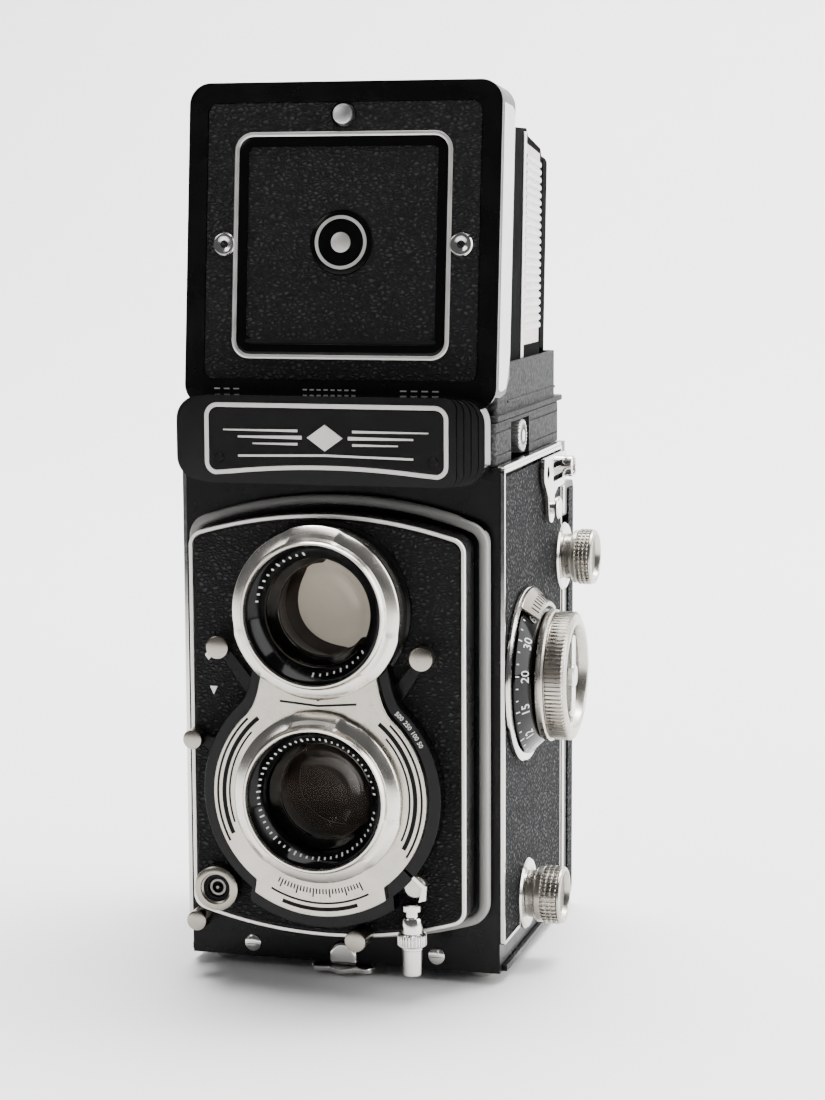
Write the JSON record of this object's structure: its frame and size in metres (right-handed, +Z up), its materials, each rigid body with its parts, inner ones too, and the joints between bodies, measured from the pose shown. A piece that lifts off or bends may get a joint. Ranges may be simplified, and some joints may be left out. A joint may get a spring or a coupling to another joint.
{
  "type": "twin lens reflex camera",
  "caption": "Twin lens reflex roll film camera with a focusing lens panel, side focusing and winding knobs, a folding waist-level hood and a hinged back",
  "frame": {"origin": "On the table under the middle of the camera's box, at the bottom of the feet", "axes": "+Z up, lenses look along -Y, the focusing knob is on +X and the winding knob on -X"},
  "size_m": [0.102, 0.098, 0.2062],
  "materials": {
    "grained_leather": "fine grained black leather covering",
    "black_enamel": "satin black stove enamel on metal",
    "crackle_enamel": "black crackle enamel",
    "bright_chrome": "polished chrome plate",
    "satin_chrome": "satin chrome plate, turned or knurled",
    "brass_parts": "plain brass",
    "ground_glass": "ground focusing glass",
    "lens_glass": "polished lens glass, faintly coated",
    "silvered_glass": "front-silvered mirror",
    "spool_plastic": "black moulded spool"
  },
  "bodies": {
    "camera_body": {"body_casting": "black_enamel", "leatherette_focus_side": "grained_leather", "leatherette_wind_side": "grained_leather", "screen_housing": "crackle_enamel", "nameplate_housing": "black_enamel", "front_light_trap": "crackle_enamel", "reflex_mirror": "silvered_glass", "focusing_screen": "ground_glass", "light_chamber": "black_enamel", "hood_base_frame": "crackle_enamel", "strap_lug_focus_side": "bright_chrome", "strap_lug_wind_side": "bright_chrome", "focus_escutcheon": "satin_chrome"},
    "lens_panel": {"front_standard": "grained_leather", "shutter_housing": "black_enamel", "shutter_faceplate": "satin_chrome", "taking_bayonet_ring": "bright_chrome", "viewing_bayonet_ring": "bright_chrome", "taking_lens_barrel": "black_enamel", "viewing_lens_barrel": "black_enamel", "taking_front_glass": "lens_glass", "taking_rear_glass": "lens_glass", "viewing_front_glass": "lens_glass", "viewing_rear_glass": "lens_glass", "flash_socket": "bright_chrome", "cable_release_socket": "bright_chrome"},
    "focusing_knob": {"focus_knob": "satin_chrome", "distance_scale_collar": "black_enamel", "focus_cam_shaft": "brass_parts"},
    "reminder_disc": {"film_reminder_disc": "black_enamel"},
    "sync_selector": {"sync_lever": "bright_chrome"},
    "aperture_control": {"aperture_lever": "bright_chrome"},
    "speed_control": {"speed_lever": "bright_chrome"},
    "cocking_control": {"cocking_lever": "bright_chrome"},
    "double_exposure_control": {"double_exposure_lever": "bright_chrome"},
    "supply_reel": {"supply_spool": "spool_plastic"},
    "take_up_reel": {"take_up_spool": "spool_plastic"},
    "lower_roller": {"film_roller_lower": "satin_chrome"},
    "upper_roller": {"film_roller_upper": "satin_chrome"},
    "upper_knob": {"upper_spool_knob": "satin_chrome"},
    "lower_knob": {"lower_spool_knob": "satin_chrome"},
    "winding_knob": {"advance_knob": "satin_chrome"},
    "counter_dial": {"exposure_counter_dial": "black_enamel"},
    "finder_thumbwheel": {"thumbwheel": "satin_chrome"},
    "camera_back": {"back_cover": "grained_leather", "tripod_bush": "bright_chrome", "foot_front_left": "bright_chrome", "foot_front_right": "bright_chrome", "foot_rear_left": "bright_chrome", "foot_rear_right": "bright_chrome"},
    "latch": {"back_latch_lever": "bright_chrome"},
    "film_pressure_plate": {"pressure_plate": "black_enamel"},
    "lid": {"hood_lid": "black_enamel"},
    "finder_flap": {"sports_finder_flap": "grained_leather"},
    "lid_button": {"magnifier_button": "bright_chrome"},
    "magnifier": {"magnifier_arm": "black_enamel", "magnifier_lens": "lens_glass"},
    "flap_focus_side": {"hood_flap_focus_side": "satin_chrome"},
    "flap_wind_side": {"hood_flap_wind_side": "satin_chrome"},
    "flap_back": {"hood_back_flap": "black_enamel"}
  },
  "joints": [
    {"name": "front_standard_slide", "type": "slide", "parent": "camera_body", "child": "lens_panel", "axis": [0, -1, 0], "range_m": [0, 0.0068]},
    {"name": "focus_knob_turn", "type": "hinge", "parent": "camera_body", "child": "focusing_knob", "pos_m": [0.045, -0.0052, 0.0694], "axis": [1, 0, 0], "range_deg": [0, 301]},
    {"name": "film_reminder_turn", "type": "hinge", "parent": "focusing_knob", "child": "reminder_disc", "pos_m": [0.0495, -0.0052, 0.0694], "axis": [1, 0, 0], "continuous": true},
    {"name": "sync_lever_swing", "type": "hinge", "parent": "lens_panel", "child": "sync_selector", "pos_m": [0, -0.0379, 0.0464], "axis": [0, -1, 0], "range_deg": [0, 14]},
    {"name": "aperture_lever_swing", "type": "hinge", "parent": "lens_panel", "child": "aperture_control", "pos_m": [0, -0.0379, 0.0464], "axis": [0, -1, 0], "range_deg": [-34, 0]},
    {"name": "speed_lever_swing", "type": "hinge", "parent": "lens_panel", "child": "speed_control", "pos_m": [0, -0.0379, 0.0464], "axis": [0, -1, 0], "range_deg": [0, 34]},
    {"name": "cocking_lever_swing", "type": "hinge", "parent": "lens_panel", "child": "cocking_control", "pos_m": [0, -0.0379, 0.0464], "axis": [0, -1, 0], "range_deg": [-30, 8], "stiffness_Nm_per_rad": 0.02},
    {"name": "double_exposure_turn", "type": "hinge", "parent": "camera_body", "child": "double_exposure_control", "pos_m": [-0.0332, -0.03, 0.0129], "axis": [0, -1, 0], "range_deg": [0, 60]},
    {"name": "supply_spool_spin", "type": "hinge", "parent": "camera_body", "child": "supply_reel", "pos_m": [0, -0.0037, 0.0163], "axis": [1, 0, 0], "continuous": true},
    {"name": "take_up_spool_spin", "type": "hinge", "parent": "camera_body", "child": "take_up_reel", "pos_m": [0, 0.0363, 0.0917], "axis": [1, 0, 0], "continuous": true},
    {"name": "advance_knob_turn", "type": "hinge", "parent": "camera_body", "child": "winding_knob", "pos_m": [-0.04, 0.0363, 0.0917], "axis": [1, 0, 0], "continuous": true},
    {"name": "exposure_counter_turn", "type": "hinge", "parent": "camera_body", "child": "counter_dial", "pos_m": [-0.039, 0.0148, 0.0947], "axis": [1, 0, 0], "continuous": true},
    {"name": "lower_roller_spin", "type": "hinge", "parent": "camera_body", "child": "lower_roller", "pos_m": [0, 0.0313, 0.0121], "axis": [1, 0, 0], "continuous": true},
    {"name": "upper_roller_spin", "type": "hinge", "parent": "camera_body", "child": "upper_roller", "pos_m": [0, 0.0307, 0.0785], "axis": [1, 0, 0], "continuous": true},
    {"name": "upper_spool_knob_pull", "type": "slide", "parent": "camera_body", "child": "upper_knob", "axis": [1, 0, 0], "range_m": [0, 0.006], "stiffness_N_per_m": 120, "springref_m": -0.003},
    {"name": "lower_spool_knob_pull", "type": "slide", "parent": "camera_body", "child": "lower_knob", "axis": [1, 0, 0], "range_m": [0, 0.006], "stiffness_N_per_m": 120, "springref_m": -0.003},
    {"name": "thumbwheel_turn", "type": "hinge", "parent": "camera_body", "child": "finder_thumbwheel", "pos_m": [0.0342, 0.0038, 0.1245], "axis": [1, 0, 0], "continuous": true},
    {"name": "back_cover_swing", "type": "hinge", "parent": "camera_body", "child": "camera_back", "pos_m": [0, 0.0462, 0.1127], "axis": [1, 0, 0], "range_deg": [0, 100]},
    {"name": "back_latch_turn", "type": "hinge", "parent": "camera_back", "child": "latch", "pos_m": [0, -0.0197, 0.0017], "axis": [0, 0, 1], "range_deg": [0, 60]},
    {"name": "pressure_plate_float", "type": "slide", "parent": "camera_back", "child": "film_pressure_plate", "axis": [0, 1, 0], "range_m": [0, 0.0015], "stiffness_N_per_m": 300, "springref_m": -0.002},
    {"name": "hood_lid_swing", "type": "hinge", "parent": "camera_body", "child": "lid", "pos_m": [0, -0.0213, 0.1387], "axis": [1, 0, 0], "range_deg": [-84.4, 0], "deforming": ["hood_flap_focus_side", "hood_flap_wind_side", "hood_back_flap"]},
    {"name": "sports_finder_swing", "type": "hinge", "parent": "lid", "child": "finder_flap", "pos_m": [0, -0.02525, 0.14763], "axis": [-1, 0, 0], "range_deg": [0, 78]},
    {"name": "magnifier_button_press", "type": "slide", "parent": "lid", "child": "lid_button", "axis": [0, 0.9952, -0.0976], "range_m": [0, 0.0012], "stiffness_N_per_m": 150, "springref_m": -0.001},
    {"name": "magnifier_swing", "type": "hinge", "parent": "lid", "child": "magnifier", "pos_m": [0, -0.01856, 0.19329], "axis": [1, 0, 0], "range_deg": [-88, 0]},
    {"name": "focus_side_flap_fold", "type": "hinge", "parent": "camera_body", "child": "flap_focus_side", "pos_m": [0.03385, 0.0083, 0.134], "axis": [0, 1, 0], "range_deg": [-90, 0]},
    {"name": "wind_side_flap_fold", "type": "hinge", "parent": "camera_body", "child": "flap_wind_side", "pos_m": [-0.03385, 0.0083, 0.1326], "axis": [0, -1, 0], "range_deg": [-90, 0]},
    {"name": "back_flap_fold", "type": "hinge", "parent": "camera_body", "child": "flap_back", "pos_m": [0, 0.0322, 0.1389], "axis": [-1, 0, 0], "range_deg": [-94.5, 0]}
  ],
  "couplings": [
    {"joint": "focus_knob_turn", "follows": "front_standard_slide", "rad_per_m": 770},
    {"joint": "take_up_spool_spin", "follows": "advance_knob_turn", "ratio": 1},
    {"joint": "exposure_counter_turn", "follows": "advance_knob_turn", "ratio": -0.0714},
    {"joint": "magnifier_swing", "follows": "hood_lid_swing", "ratio": 1.0427},
    {"joint": "focus_side_flap_fold", "follows": "hood_lid_swing", "ratio": 1.0663},
    {"joint": "wind_side_flap_fold", "follows": "hood_lid_swing", "ratio": 1.0663},
    {"joint": "back_flap_fold", "follows": "hood_lid_swing", "ratio": 1.1197}
  ]
}
